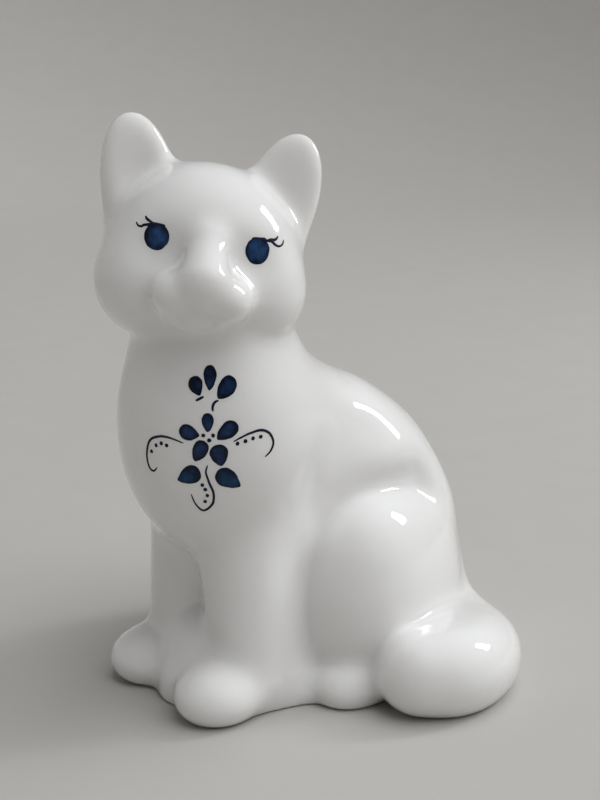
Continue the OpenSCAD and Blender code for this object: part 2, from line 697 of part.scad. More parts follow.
module leaves() color(cobalt) chest_drops(leaf_pair, leaf_point);
module left_tendril() color(navy) chest_line(left_curl);
module right_tendril() color(navy) chest_line(right_curl);
module lower_tendril() color(navy) chest_line(lower_curl);
module tendril_dots() color(navy) chest_dots(concat(left_dots, right_dots, lower_dots));

torso();
head();
left_ear();
right_ear();
left_foreleg();
right_foreleg();
left_haunch();
right_haunch();
left_hind_paw();
right_hind_paw();
tail();
left_eye();
right_eye();
left_lashes();
right_lashes();
flower_petals();
flower_stamens();
bud_petals();
bud_stems();
leaves();
left_tendril();
right_tendril();
lower_tendril();
tendril_dots();
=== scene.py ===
import math
from collections import namedtuple
from itertools import product

import bpy
import numpy as np
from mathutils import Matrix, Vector


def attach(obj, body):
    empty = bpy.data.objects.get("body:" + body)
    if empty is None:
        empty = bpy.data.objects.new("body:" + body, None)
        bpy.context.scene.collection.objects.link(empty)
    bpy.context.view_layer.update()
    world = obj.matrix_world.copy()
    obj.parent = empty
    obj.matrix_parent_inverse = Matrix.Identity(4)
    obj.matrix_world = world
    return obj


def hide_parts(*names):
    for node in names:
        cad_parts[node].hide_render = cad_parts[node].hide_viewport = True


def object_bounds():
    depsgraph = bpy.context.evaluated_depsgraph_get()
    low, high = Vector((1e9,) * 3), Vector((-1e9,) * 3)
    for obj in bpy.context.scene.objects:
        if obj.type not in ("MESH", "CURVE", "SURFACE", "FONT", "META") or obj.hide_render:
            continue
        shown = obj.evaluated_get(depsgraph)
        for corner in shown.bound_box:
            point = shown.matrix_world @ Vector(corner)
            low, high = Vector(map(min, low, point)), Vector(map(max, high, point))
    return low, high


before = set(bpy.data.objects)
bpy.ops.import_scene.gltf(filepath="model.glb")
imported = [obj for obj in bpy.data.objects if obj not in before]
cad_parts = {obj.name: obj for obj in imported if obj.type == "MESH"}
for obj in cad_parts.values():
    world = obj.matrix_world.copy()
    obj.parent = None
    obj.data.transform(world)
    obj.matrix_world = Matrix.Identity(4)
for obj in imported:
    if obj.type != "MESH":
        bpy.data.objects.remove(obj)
cad_low, cad_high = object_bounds()

scene = bpy.context.scene
scene.view_settings.view_transform = "Standard"

MM = 0.001
LEFT = 1
RIGHT = -1
SIDES = (LEFT, RIGHT)


def place(x, y, z):
    return np.array((x, y, z), float)


def on_side(spot, side):
    return spot * (side, 1, 1)


# Camera at the photograph's viewing angle
VIEW_AIM = Vector((1.3, 5.6, 45.5)) * MM
VIEW_AZIMUTH = 47
VIEW_ELEVATION = 13
VIEW_DISTANCE = 216 * MM
HALF_VIEW_ANGLE = 17
SENSOR_WIDTH = 36
NEAREST_SEEN = 0.01
FARTHEST_SEEN = 20


def unit_toward(azimuth, elevation):
    a = math.radians(azimuth)
    e = math.radians(elevation)
    return Vector((math.sin(a) * math.cos(e), -math.cos(a) * math.cos(e), math.sin(e)))


def aimed(name, data, target, azimuth, elevation, distance):
    outward = unit_toward(azimuth, elevation)
    made = bpy.data.objects.new(name, data)
    made.location = target + outward * distance
    made.rotation_euler = (-outward).to_track_quat("-Z", "Y").to_euler()
    scene.collection.objects.link(made)
    return made


def make_camera():
    lens = bpy.data.cameras.new("camera")
    lens.sensor_width = SENSOR_WIDTH
    lens.lens = SENSOR_WIDTH / 2 / math.tan(math.radians(HALF_VIEW_ANGLE))
    lens.clip_start = NEAREST_SEEN
    lens.clip_end = FARTHEST_SEEN
    scene.camera = aimed("camera", lens, VIEW_AIM, VIEW_AZIMUTH, VIEW_ELEVATION, VIEW_DISTANCE)


# Soft forms of the sculpt in millimetres, each with how softly it joins what is there
Egg = namedtuple("Egg", "middle half soft", defaults=(0,))
Limb = namedtuple("Limb", "start end start_radius end_radius soft")
BLEND_REACH = 1.5
BLEND_FILL = 0.25
TAPER_EASE = 0.3
TINY = 1e-9


# Fields are negative inside a form
def blend(a, b, soft):
    near = np.maximum(1 - np.abs(a - b) / (BLEND_REACH * soft), 0)
    return np.minimum(a, b) - near ** 3 * soft * BLEND_FILL


def carve(a, b, soft):
    return -blend(-a, b, soft)


def egg_field(points, middle, half):
    q = points - middle
    size = np.linalg.norm(q / half, axis=1)
    slope = np.linalg.norm(q / half ** 2, axis=1)
    return size * (size - 1) / np.maximum(slope, TINY)


def rising(t):
    return np.where(t > TAPER_EASE, t, np.maximum(t + TAPER_EASE, 0) ** 2 / (4 * TAPER_EASE))


def limb_field(points, start, end, start_radius, end_radius):
    along = end - start
    t = (points - start) @ along / (along @ along)
    off = np.linalg.norm(points - start - np.clip(t, 0, 1)[:, None] * along, axis=1)
    eased = 1 - rising(1 - rising(t))
    return off - start_radius - eased * (end_radius - start_radius)


def form_field(points, form, side=LEFT):
    if isinstance(form, Egg):
        return egg_field(points, on_side(form.middle, side), form.half)
    start = on_side(form.start, side)
    end = on_side(form.end, side)
    return limb_field(points, start, end, form.start_radius, form.end_radius)


def joined(field, points, form, side=LEFT):
    return blend(field, form_field(points, form, side), form.soft)


def hollowed(field, points, form, side=LEFT):
    return carve(field, form_field(points, form, side), form.soft)


def turned(x, y, z):
    a, b, c = np.radians((x, y, z))
    about_x = np.array(((1, 0, 0), (0, np.cos(a), -np.sin(a)), (0, np.sin(a), np.cos(a))))
    about_y = np.array(((np.cos(b), 0, np.sin(b)), (0, 1, 0), (-np.sin(b), 0, np.cos(b))))
    about_z = np.array(((np.cos(c), -np.sin(c), 0), (np.sin(c), np.cos(c), 0), (0, 0, 1)))
    return about_z @ about_y @ about_x


# Way that the head looks
HEAD_TURN = math.radians(53)
HEAD_PITCH = math.radians(2)
HEAD_LEAN = math.radians(7.5)
head_middle = place(0, -13.3, 71)
face_way = place(
    math.sin(HEAD_TURN) * math.cos(HEAD_PITCH),
    -math.cos(HEAD_TURN) * math.cos(HEAD_PITCH),
    math.sin(HEAD_PITCH),
)
level_left = place(math.cos(HEAD_TURN), math.sin(HEAD_TURN), 0)
level_up = np.cross(level_left, -face_way)
head_left = math.cos(HEAD_LEAN) * level_left - math.sin(HEAD_LEAN) * level_up
head_up = math.sin(HEAD_LEAN) * level_left + math.cos(HEAD_LEAN) * level_up
head_axes = np.stack((head_left, -face_way, head_up), axis=1)

# Head and ears in the head's own axes: left, back and up
skull = Egg(place(0, 0.5, 0.5), place(14.4, 13.2, 13.4))
cheek = Egg(place(7.5, -2.8, -4.6), place(8.3, 8.6, 8.2), 4)
eye_hollow = Egg(place(7.4, -15.4, 1.2), place(4.2, 3.2, 2.6), 4.5)
snout = Egg(place(0, -11.8, -4.4), place(5.4, 4.8, 3.8), 2.4)
whisker_pad = Egg(place(4, -13.1, -5.2), place(3.2, 3.5, 3), 2)
nose = Limb(place(0, -11, 2.2), place(0, -15, -2.6), 2.8, 3.6, 2.4)
chin = Egg(place(0, -10.2, -8.3), place(4.6, 3.6, 2.6), 3.2)
ear_seat = place(10.4, 2, 8.2)
ear_shell = Egg(place(0, 0, 0), place(5.9, 3.2, 11.8), 3)
ear_dish = Egg(place(0, -4.6, 1), place(4.6, 3, 9.5), 3.2)
EAR_PITCH = -4
EAR_SPREAD = 14
EAR_TWIST = 10


def ear_field(q, side):
    turn = turned(EAR_PITCH, side * EAR_SPREAD, -side * EAR_TWIST)
    own = (q - on_side(ear_seat, side)) @ turn
    return hollowed(form_field(own, ear_shell), own, ear_dish)


def muzzle_field(q):
    field = form_field(q, snout)
    for side in SIDES:
        field = joined(field, q, whisker_pad, side)
    field = joined(field, q, nose)
    return joined(field, q, chin)


def head_field(points):
    q = (points - head_middle) @ head_axes
    field = form_field(q, skull)
    for side in SIDES:
        field = joined(field, q, cheek, side)
    for side in SIDES:
        field = hollowed(field, q, eye_hollow, side)
    field = blend(field, muzzle_field(q), snout.soft)
    for side in SIDES:
        field = blend(field, ear_field(q, side), ear_shell.soft)
    return field


# Trunk from the base to the neck
chest = Egg(place(0, -11.8, 43.5), place(15.6, 14.6, 20))
shoulder = place(0, 0.5, 39.9)
mid_back = place(0, 11.8, 29.6)
loin = place(0, 17.4, 20.9)
rump = place(0, 19, 9)
neck = Limb(place(0, -11, 50), place(0, -12, 62), 13.4, 12, 4)
nape = Limb(place(0, -8.3, 49), place(0, 12.2, 41.7), 4.4, 4.4, 10)
upper_back = Limb(shoulder, mid_back, 11.7, 16.4, 9)
lower_back = Limb(mid_back, loin, 16.4, 17.2, 10)
hips = Limb(loin, rump, 17.2, 20.8, 8)
foot = Limb(place(0, -8, 2), place(0, 10, 3), 13, 16, 4)
belly = Limb(place(0, 0, 24), place(0, 8, 16), 13, 15.5, 5)
flank_hollow = Limb(place(18.8, 6.5, 44), place(19.6, -0.5, 36), 5, 5, 5)
saddle_hollow = Limb(place(20.6, -1, 30), place(20.8, 17.5, 32.2), 5.8, 4.8, 5)
paw_web = Limb(place(0, -13, 7), place(0, -17.4, 2), 6.5, 4.6, 3)
foot_rim = Limb(place(8, -12, 1.5), place(16, 2, 1.5), 4, 4, 3)


def trunk_field(points):
    spine = form_field(points, upper_back)
    spine = joined(spine, points, lower_back)
    spine = joined(spine, points, hips)
    field = form_field(points, chest)
    field = joined(field, points, neck)
    field = joined(field, points, nape)
    field = blend(field, spine, upper_back.soft)
    field = joined(field, points, foot)
    field = joined(field, points, belly)
    for side in SIDES:
        field = hollowed(field, points, flank_hollow, side)
        field = hollowed(field, points, saddle_hollow, side)
    field = joined(field, points, paw_web)
    for side in SIDES:
        field = joined(field, points, foot_rim, side)
    return field


# Legs, paws and haunches
leg_front = Limb(place(5, -10.5, 34), place(8.3, -11, 5), 8.1, 6.5, 2.5)
leg_back = Limb(place(6.5, -5, 27), place(7.5, -4, 4), 5, 6.5, 4)
front_paw_half = place(6.7, 7.3, 4.9)
FRONT_PAW_SOFT = 3
front_paws = {
    LEFT: Egg(place(8.6, -18.5, 3.6), front_paw_half, FRONT_PAW_SOFT),
    RIGHT: Egg(place(-10.4, -16.9, 3.6), front_paw_half, FRONT_PAW_SOFT),
}
thigh_middle = place(14.9, 12, 14.6)
thigh = Egg(place(0, 0, 0), place(8.6, 15.4, 16.4), 2.8)
THIGH_PITCH = 8
knee = Egg(place(15.4, 6.4, 16.4), place(7.6, 8.2, 13.2), 7)
hind_paw = Egg(place(18.7, 1.3, 2.4), place(5.1, 6.7, 4.4), 2.5)


def foreleg_field(points, side):
    field = form_field(points, leg_front, side)
    field = joined(field, points, leg_back, side)
    return joined(field, points, front_paws[side])


def haunch_field(points, side):
    own = (points - on_side(thigh_middle, side)) @ turned(THIGH_PITCH, 0, 0)
    return joined(form_field(own, thigh), points, knee, side)


# Smooth path through a list of points
def smooth(path, steps):
    path = np.array(path, float)
    last = len(path) - 1
    made = []
    for i in range(last):
        a = path[max(i - 1, 0)]
        b = path[i]
        c = path[i + 1]
        d = path[min(i + 2, last)]
        for t in np.arange(steps) / steps:
            bend = (2 * a - 5 * b + 4 * c - d) * t * t / 2 + (3 * b - a - 3 * c + d) * t ** 3 / 2
            made.append(b + (c - a) * t / 2 + bend)
    made.append(path[last])
    return np.array(made)


# Tail round the left haunch: place, radius, depth in the table, width of the flat inner side
tail_marks = (
    (0, 33, 6.1, 1.7, 0),
    (11.9, 31.9, 5.7, 2.2, 0.8),
    (22.6, 26.6, 6.3, 2.3, 2.4),
    (28.5, 20.4, 7.1, 2.1, 3.2),
    (31.3, 14, 7.25, 1.6, 3),
    (31.2, 9.2, 7.25, 1.3, 1.3),
    (28.9, 5.2, 6.5, 0.2, 0),
)
TAIL_STEPS = 14
TAIL_SOFT = 0.6
TAIL_TIP_SOFT = 1
TAIL_TOP = 20
TAIL_BATCH = 40000
FAR = 50.0
tail_line = smooth([(x, y, r - sunk, r, flat) for x, y, r, sunk, flat in tail_marks], TAIL_STEPS)
tail_way = np.gradient(tail_line[:, :2], axis=0)
tail_step = np.linalg.norm(tail_way, axis=1)
tail_way /= tail_step[:, None]
tail_share = tail_step / np.sqrt(math.tau * TAIL_SOFT * tail_line[:, 3])


def tail_field(points):
    field = np.full(len(points), FAR)
    low = np.flatnonzero(points[:, 2] < TAIL_TOP)
    for part in np.array_split(low, len(low) // TAIL_BATCH + 1):
        gap = points[part][:, None, :] - tail_line[None, :, :3]
        ahead = gap[..., 0] * tail_way[:, 0] + gap[..., 1] * tail_way[:, 1]
        outward = gap[..., 1] * tail_way[:, 0] - gap[..., 0] * tail_way[:, 1]
        outward += np.clip(-outward, 0, tail_line[:, 4])
        off = np.sqrt(ahead ** 2 + outward ** 2 + gap[..., 2] ** 2) - tail_line[:, 3]
        near = off.min(axis=1)
        share = (tail_share * np.exp((near[:, None] - off) / TAIL_SOFT)).sum(axis=1)
        field[part] = blend(near - TAIL_SOFT * np.log(share), off[:, -1], TAIL_TIP_SOFT)
    return field


# Whole cat as one fired body standing on the table
TAIL_JOIN = 3.5
HEAD_JOIN = 1.8
FLOOR_EDGE = 0.5
SLOPE_STEP = 0.03


def cat_field(points):
    field = trunk_field(points)
    for side in SIDES:
        field = blend(field, foreleg_field(points, side), leg_front.soft)
        field = blend(field, haunch_field(points, side), thigh.soft)
        field = joined(field, points, hind_paw, side)
    field = blend(field, tail_field(points), TAIL_JOIN)
    field = blend(field, head_field(points), HEAD_JOIN)
    return carve(field, points[:, 2], FLOOR_EDGE)


def slope_of(points):
    rises = [cat_field(points + s) - cat_field(points - s) for s in np.eye(3) * SLOPE_STEP]
    return np.stack(rises, axis=1) / (2 * SLOPE_STEP)


# Grid for the net of four-sided faces over the zero level of the field
NET_STEP = 0.52
NET_BLOCK = 4
NET_MARGIN = 1
NEAR_BLOCKS = 2.2
CORNERS = list(product((0, 1), repeat=3))
AXIS_STEPS = np.eye(3, dtype=int)


def axis_steps(axis):
    return [AXIS_STEPS[(axis + turn) % 3] for turn in range(3)]


def grid_points(axes):
    return np.stack(np.meshgrid(*axes, indexing="ij"), axis=-1).reshape(-1, 3)


def shifted(values, corner, size):
    i, j, k = corner
    return values[i:size[0] + i, j:size[1] + j, k:size[2] + k]


# Field on the grid, exact near the skin and only its sign elsewhere
def sampled_field(low):
    high = np.array(cad_high) / MM + NET_MARGIN
    blocks = np.ceil((high - low) / NET_STEP / NET_BLOCK).astype(int)
    count = blocks * NET_BLOCK + 1
    coarse_axes = [low[i] + NET_STEP * np.arange(count[i])[::NET_BLOCK] for i in range(3)]
    values = cat_field(grid_points(coarse_axes)).reshape(blocks + 1)
    near = np.min([shifted(np.abs(values), corner, blocks) for corner in CORNERS], axis=0)
    close = near < NET_STEP * NET_BLOCK * NEAR_BLOCKS
    for axis in range(3):
        values = np.repeat(values, NET_BLOCK, axis=axis)
    values = shifted(values, (0, 0, 0), count).copy()
    wanted = np.zeros(count, bool)
    for i, j, k in product(range(NET_BLOCK + 1), repeat=3):
        every = wanted[i::NET_BLOCK, j::NET_BLOCK, k::NET_BLOCK]
        every[:blocks[0], :blocks[1], :blocks[2]] |= close
    values[wanted] = cat_field(low + np.argwhere(wanted) * NET_STEP)
    return values


# One point in each cell that the skin crosses, at the middle of its crossings
def net_points(values, low):
    cells = np.array(values.shape) - 1
    inside = (values < 0).astype(np.uint8)
    total = sum(shifted(inside, corner, cells) for corner in CORNERS)
    crossed = (total > 0) & (total < len(CORNERS))
    spots = np.argwhere(crossed)
    number = np.full(cells, -1)
    number[crossed] = np.arange(len(spots))
    places = np.zeros((len(spots), 3))
    hits = np.zeros(len(spots))
    for axis in range(3):
        ahead, b, c = axis_steps(axis)
        for start in (0 * b, b, c, b + c):
            first = spots + start
            f0 = values[tuple(first.T)]
            f1 = values[tuple((first + ahead).T)]
            cut = (f0 < 0) != (f1 < 0)
            t = f0[cut] / (f0[cut] - f1[cut])
            places[cut] += first[cut] + t[:, None] * ahead
            hits[cut] += 1
    return low + NET_STEP * places / hits[:, None], number


# One face round each grid edge that the skin crosses
def net_faces(values, number):
    faces = []
    for axis in range(3):
        ahead, b, c = axis_steps(axis)
        size = np.array(values.shape) - ahead
        f0 = shifted(values, (0, 0, 0), size)
        f1 = shifted(values, ahead, size)
        edges = np.argwhere((f0 < 0) != (f1 < 0))
        outward = f0[tuple(edges.T)] < 0
        round_edge = [number[tuple((edges - shift).T)] for shift in (0 * b, b, b + c, c)]
        ring = np.stack(round_edge, axis=1)
        ring[~outward] = ring[~outward][:, ::-1]
        faces.append(ring)
    return np.concatenate(faces)


# Points drawn onto the field itself, and kept inside the CAD box
SETTLE_ROUNDS = 2
BOX_SOFT = 0.3
HOLLOW_ROOM = 3


def settled(points):
    for _ in range(SETTLE_ROUNDS):
        slope = slope_of(points)
        points = points - slope * (cat_field(points) / (slope ** 2).sum(axis=1))[:, None]
    return points


def kept_inside(points):
    low = np.array(cad_low) / MM
    high = np.array(cad_high) / MM
    made = points.copy()
    for axis in range(3):
        made[:, axis] = np.minimum(blend(made[:, axis], high[axis], BOX_SOFT), high[axis])
    for axis in range(2):
        made[:, axis] = np.maximum(-blend(-made[:, axis], -low[axis], BOX_SOFT), low[axis])
    made[:, 2] = np.maximum(made[:, 2], low[2])
    return made


def make_skin(material):
    low = np.array(cad_low) / MM - NET_MARGIN
    values = sampled_field(low)
    points, number = net_points(values, low)
    quads = net_faces(values, number)
    points = settled(points)
    normals = slope_of(points)
    normals /= np.linalg.norm(normals, axis=1)[:, None]
    # How far each point is closed in by nearby skin; the white glaze uses it for painted crease shade
    clear = cat_field(points + normals * HOLLOW_ROOM)
    hollow = np.clip((HOLLOW_ROOM - clear) / HOLLOW_ROOM, 0, 1).astype(np.float32)
    points = kept_inside(points)
    mesh = bpy.data.meshes.new("glazed_body")
    mesh.from_pydata((points * MM).tolist(), [], quads.tolist())
    mesh.attributes.new("hollow", "FLOAT", "POINT").data.foreach_set("value", hollow)
    mesh.shade_smooth()
    mesh.normals_split_custom_set_from_vertices(normals.tolist())
    mesh.materials.append(material)
    mesh.update()
    body = bpy.data.objects.new("glazed_body", mesh)
    scene.collection.objects.link(body)
    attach(body, "root")
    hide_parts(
        "torso", "head", "left_ear", "right_ear", "left_foreleg", "right_foreleg",
        "left_haunch", "right_haunch", "left_hind_paw", "right_hind_paw", "tail",
    )
    return body


# Nodes of any tree
def add(tree, kind, inputs=None, **settings):
    made = tree.nodes.new(kind)
    for name, value in settings.items():
        setattr(made, name, value)
    for key, value in (inputs or {}).items():
        if isinstance(value, bpy.types.NodeSocket):
            tree.links.new(value, made.inputs[key])
        else:
            made.inputs[key].default_value = value
    return made


def math_node(tree, operation, *values):
    return add(tree, "ShaderNodeMath", dict(enumerate(values)), operation=operation).outputs[0]


def vector_node(tree, operation, first, second):
    key = "Scale" if operation == "SCALE" else 1
    made = add(tree, "ShaderNodeVectorMath", {0: first, key: second}, operation=operation)
    return made.outputs[0]


def apart(tree, vector):
    return add(tree, "ShaderNodeSeparateXYZ", {0: vector}).outputs


def together(tree, x, y, z):
    return add(tree, "ShaderNodeCombineXYZ", {"X": x, "Y": y, "Z": z}).outputs[0]


def point_spot(tree):
    return add(tree, "GeometryNodeInputPosition").outputs[0]


def started(name, kind, inputs, outputs):
    tree = bpy.data.node_groups.new(name, kind)
    for label, socket, value in inputs:
        made = tree.interface.new_socket(label, in_out="INPUT", socket_type=socket)
        if value is not None:
            made.default_value = value
    for label, socket in outputs:
        tree.interface.new_socket(label, in_out="OUTPUT", socket_type=socket)
    return tree, tree.nodes.new("NodeGroupInput").outputs, tree.nodes.new("NodeGroupOutput").inputs


GEOMETRY = ("Geometry", "NodeSocketGeometry")
WRAP_INPUTS = [
    ("Skin", "NodeSocketObject", None),
    ("Middle", "NodeSocketVector", None),
    ("Way", "NodeSocketVector", None),
    ("Up", "NodeSocketVector", None),
    ("Side", "NodeSocketVector", None),
    ("Bend", "NodeSocketFloat", 0.0),
]
RAY_START = 0.06
RAY_LENGTH = 0.12


# Flat brushwork laid on the skin: across, up, and height above the glaze
def make_wrap_tree():
    tree, given, result = started(
        "wrap_on_skin", "GeometryNodeTree", [(*GEOMETRY, None), *WRAP_INPUTS], [GEOMETRY]
    )
    flat = apart(tree, point_spot(tree))
    angle = math_node(tree, "MULTIPLY", flat["X"], given["Bend"])
    outward = add(
        tree, "ShaderNodeVectorRotate",
        {"Vector": given["Way"], "Axis": given["Up"], "Angle": angle}, rotation_type="AXIS_ANGLE",
    ).outputs[0]
    start = given["Middle"]
    for way, distance in (
        (given["Up"], flat["Y"]), (given["Side"], flat["X"]), (outward, RAY_START),
    ):
        start = vector_node(tree, "ADD", start, vector_node(tree, "SCALE", way, distance))
    skin = add(tree, "GeometryNodeObjectInfo", {"Object": given["Skin"]}).outputs["Geometry"]
    cast = add(
        tree, "GeometryNodeRaycast",
        {
            "Target Geometry": skin, "Source Position": start,
            "Ray Direction": vector_node(tree, "SCALE", outward, -1.0), "Ray Length": RAY_LENGTH,
        },
    ).outputs
    raised = vector_node(tree, "SCALE", cast["Hit Normal"], flat["Z"])
    spot = vector_node(tree, "ADD", cast["Hit Position"], raised)
    laid = add(tree, "GeometryNodeSetPosition", {"Geometry": given["Geometry"], "Position": spot})
    tree.links.new(laid.outputs[0], result["Geometry"])
    return tree


# Uneven edge that a hand brush leaves
WOBBLE_SCALE = 900.0
WOBBLE_DETAIL = 1.5


def make_wobble_tree():
    tree, given, result = started(
        "hand_wobble", "GeometryNodeTree",
        [
            (*GEOMETRY, None), ("Amount", "NodeSocketFloat", 0.0),
            ("Seed", "NodeSocketFloat", 0.0),
        ],
        [GEOMETRY],
    )
    noise = add(
        tree, "ShaderNodeTexNoise",
        {
            "Vector": point_spot(tree), "W": given["Seed"],
            "Scale": WOBBLE_SCALE, "Detail": WOBBLE_DETAIL,
        },
        noise_dimensions="4D",
    ).outputs["Color"]
    even = vector_node(tree, "SUBTRACT", noise, (0.5, 0.5, 0.5))
    flat = vector_node(tree, "MULTIPLY", even, (1.0, 1.0, 0.0))
    shift = vector_node(tree, "SCALE", flat, given["Amount"])
    moved = add(tree, "GeometryNodeSetPosition", {"Geometry": given["Geometry"], "Offset": shift})
    tree.links.new(moved.outputs[0], result["Geometry"])
    return tree


FINISH_INPUTS = [
    ("Wobble", "NodeSocketFloat", 0.0),
    ("Seed", "NodeSocketFloat", 0.0),
    ("Material", "NodeSocketMaterial", None),
    *WRAP_INPUTS,
]


def kept(tree, geometry, name, value):
    return add(
        tree, "GeometryNodeStoreNamedAttribute",
        {"Geometry": geometry, "Name": name, "Value": value}, data_type="FLOAT", domain="POINT",
    ).outputs[0]


def named(tree, name):
    made = add(tree, "GeometryNodeInputNamedAttribute", {"Name": name}, data_type="FLOAT")
    return made.outputs[0]


def finished(tree, given, result, geometry, wobble_tree, wrap_tree):
    real = add(tree, "GeometryNodeRealizeInstances", {"Geometry": geometry}).outputs[0]
    uneven = add(
        tree, "GeometryNodeGroup",
        {"Geometry": real, "Amount": given["Wobble"], "Seed": given["Seed"]}, node_tree=wobble_tree,
    ).outputs[0]
    wrap = {label: given[label] for label, _, _ in WRAP_INPUTS}
    laid = add(tree, "GeometryNodeGroup", {"Geometry": uneven, **wrap}, node_tree=wrap_tree).outputs[0]
    even = add(tree, "GeometryNodeSetShadeSmooth", {"Geometry": laid}).outputs[0]
    whole = add(tree, "GeometryNodeRealizeInstances", {"Geometry": even}).outputs[0]
    painted = add(
        tree, "GeometryNodeSetMaterial", {"Geometry": whole, "Material": given["Material"]}
    ).outputs[0]
    tree.links.new(painted, result["Geometry"])


# Brushed lines along paths, with a rounded back and thinner ends
LINE_ROUND = 12


def make_line_tree(wobble_tree, wrap_tree):
    tree, given, result = started(
        "brushed_lines", "GeometryNodeTree",
        [(*GEOMETRY, None), ("Crown", "NodeSocketFloat", 0.3), *FINISH_INPUTS], [GEOMETRY],
    )
    path = add(tree, "GeometryNodeMeshToCurve", {"Mesh": given["Geometry"]}).outputs[0]
    path = add(tree, "GeometryNodeSetCurveNormal", {"Curve": path}, mode="Z_UP").outputs[0]
    path = kept(tree, path, "along", add(tree, "GeometryNodeSplineParameter").outputs["Factor"])
    lens = add(
        tree, "GeometryNodeCurvePrimitiveCircle", {"Resolution": LINE_ROUND, "Radius": 1.0}
    ).outputs[0]
    across = apart(tree, point_spot(tree))["X"]
    lens = kept(tree, lens, "rim", math_node(tree, "ABSOLUTE", across))
    flat = together(tree, 1.0, given["Crown"], 1.0)
    lens = add(tree, "GeometryNodeTransform", {"Geometry": lens, "Scale": flat}).outputs[0]
    swept = add(
        tree, "GeometryNodeCurveToMesh",
        {"Curve": path, "Profile Curve": lens, "Scale": named(tree, "broad"), "Fill Caps": True},
    ).outputs[0]
    finished(tree, given, result, swept, wobble_tree, wrap_tree)
    return tree


# Pools of enamel: ovals for eyes and dots, pointed drops for petals and leaves
DROP_FULLNESS = 1.3
SHOULDER_POWER = 0.5
FLAT_TOP_SOFT = 0.2


def make_pool_tree(wobble_tree, wrap_tree):
    tree, given, result = started(
        "brushed_pools", "GeometryNodeTree",
        [
            (*GEOMETRY, None), ("Pointed", "NodeSocketFloat", 0.0), ("Flat", "NodeSocketFloat", 2.0),
            ("Crown", "NodeSocketFloat", 0.0001),
            ("Segments", "NodeSocketInt", 36), ("Rings", "NodeSocketInt", 14), *FINISH_INPUTS,
        ],
        [GEOMETRY],
    )
    ball = add(
        tree, "GeometryNodeMeshUVSphere",
        {"Segments": given["Segments"], "Rings": given["Rings"], "Radius": 1.0},
    ).outputs[0]
    spot = apart(tree, point_spot(tree))
    level = math_node(tree, "MULTIPLY", spot["Z"], spot["Z"])
    edge = math_node(tree, "SQRT", math_node(tree, "SUBTRACT", 1.0, level))
    ball = kept(tree, ball, "rim", edge)
    back = math_node(tree, "MULTIPLY_ADD", spot["X"], -0.5, 0.5)
    ball = kept(tree, ball, "along", back)
    narrow = math_node(tree, "MULTIPLY_ADD", math_node(tree, "SQRT", back), DROP_FULLNESS, -1.0)
    width = math_node(tree, "MULTIPLY_ADD", narrow, given["Pointed"], 1.0)
    height = math_node(tree, "POWER", math_node(tree, "ABSOLUTE", spot["Z"]), SHOULDER_POWER)
    height = math_node(tree, "MULTIPLY", height, math_node(tree, "SIGN", spot["Z"]))
    across = math_node(tree, "MULTIPLY", spot["Y"], width)
    across = math_node(tree, "SMOOTH_MIN", across, given["Flat"], FLAT_TOP_SOFT)
    shaped = together(tree, spot["X"], across, height)
    ball = add(tree, "GeometryNodeSetPosition", {"Geometry": ball, "Position": shaped}).outputs[0]
    turn = add(
        tree, "FunctionNodeAxisAngleToRotation",
        {"Axis": (0.0, 0.0, 1.0), "Angle": named(tree, "turn")},
    ).outputs[0]
    size = together(tree, named(tree, "half_length"), named(tree, "half_width"), given["Crown"])
    pools = add(
        tree, "GeometryNodeInstanceOnPoints",
        {"Points": given["Geometry"], "Instance": ball, "Rotation": turn, "Scale": size},
    ).outputs[0]
    finished(tree, given, result, pools, wobble_tree, wrap_tree)
    return tree


# Where flat brushwork lies: round the chest for the sprig, straight on the face for the eyes
SPRIG_TURN = math.radians(47)
sprig_rise = place(0, 0, 2.3)


def chest_wrap(skin):
    return {
        "Skin": skin,
        "Middle": tuple((chest.middle + sprig_rise) * MM),
        "Way": (math.sin(SPRIG_TURN), -math.cos(SPRIG_TURN), 0.0),
        "Up": (0.0, 0.0, 1.0),
        "Side": (0.0, 0.0, 0.0),
        "Bend": 1 / (chest.half[0] * MM),
    }


def face_wrap(skin):
    return {
        "Skin": skin,
        "Middle": tuple(head_middle * MM),
        "Way": tuple(face_way),
        "Up": tuple(head_up),
        "Side": tuple(head_left),
        "Bend": 0.0,
    }


def dressed(name, source, tree, values):
    piece = bpy.data.objects.new(name + "_paint", source)
    scene.collection.objects.link(piece)
    change = piece.modifiers.new("brushwork", "NODES")
    change.node_group = tree
    for item in tree.interface.items_tree:
        if item.in_out == "INPUT" and item.name in values:
            change[item.identifier] = values[item.name]
    bpy.context.view_layer.update()
    shown = piece.evaluated_get(bpy.context.evaluated_depsgraph_get())
    mesh = bpy.data.meshes.new_from_object(shown)
    mesh.name = name + "_paint"
    piece.modifiers.remove(change)
    piece.data = mesh
    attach(piece, "root")
    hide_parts(name)


# Sizes of brushed lines and dots, and how far a line thins at its ends
LINE_WIDTH = 0.42
LINE_END_SHARE = 0.15
LINE_END_POWER = 0.4
LINE_END_MARGIN = 0.004
DOT_WIDTH = 0.62


def with_columns(mesh, columns):
    for label, values in columns.items():
        mesh.attributes.new(label, "FLOAT", "POINT").data.foreach_set("value", values)
    return mesh


def line_source(name, paths):
    points = []
    edges = []
    broad = []
    for path in paths:
        last = len(path) - 1
        edges += [(len(points) + i, len(points) + i + 1) for i in range(last)]
        points += [(x * MM, y * MM, 0) for x, y in path]
        along = np.clip(np.arange(last + 1) / last, LINE_END_MARGIN, 1 - LINE_END_MARGIN)
        share = np.sin(np.pi * along) ** LINE_END_POWER
        full = LINE_END_SHARE + (1 - LINE_END_SHARE) * share
        broad += (LINE_WIDTH / 2 * MM * full).tolist()
    mesh = bpy.data.meshes.new(name)
    mesh.from_pydata(points, edges, [])
    return with_columns(mesh, {"broad": broad})


